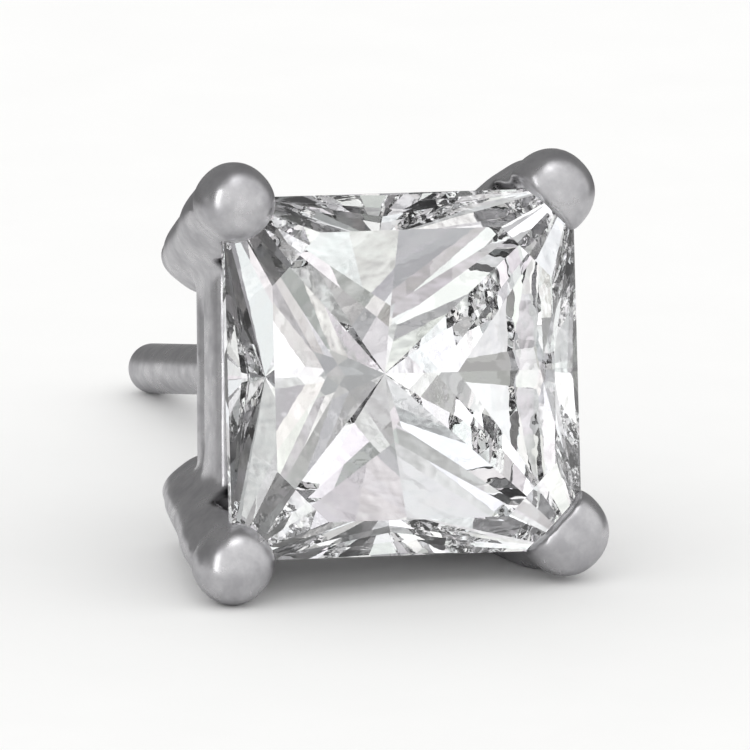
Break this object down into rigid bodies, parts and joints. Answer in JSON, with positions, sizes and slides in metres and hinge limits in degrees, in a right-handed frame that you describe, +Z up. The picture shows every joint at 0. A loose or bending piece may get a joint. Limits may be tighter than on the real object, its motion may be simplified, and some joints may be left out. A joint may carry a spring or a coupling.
{
  "type": "stud earring",
  "caption": "Stud earring with a square princess-cut stone held by corner claws in an open tapering basket, on a plain straight post.",
  "frame": {"origin": "centre of the base of the bounding box, on the surface that the stud lies on", "axes": "+Z up, -Y the way the stone faces, +Y towards the end of the post, +X to the right of someone who looks at the stone"},
  "size_m": [0.0068, 0.0134, 0.0066],
  "materials": {
    "white_gold": "cast white gold under rhodium plate, tumbled to a soft satin polish",
    "diamond": "colourless diamond, faceted and polished"
  },
  "bodies": {
    "root": {"claw_setting": "white_gold", "princess_stone": "diamond"}
  },
  "joints": []
}
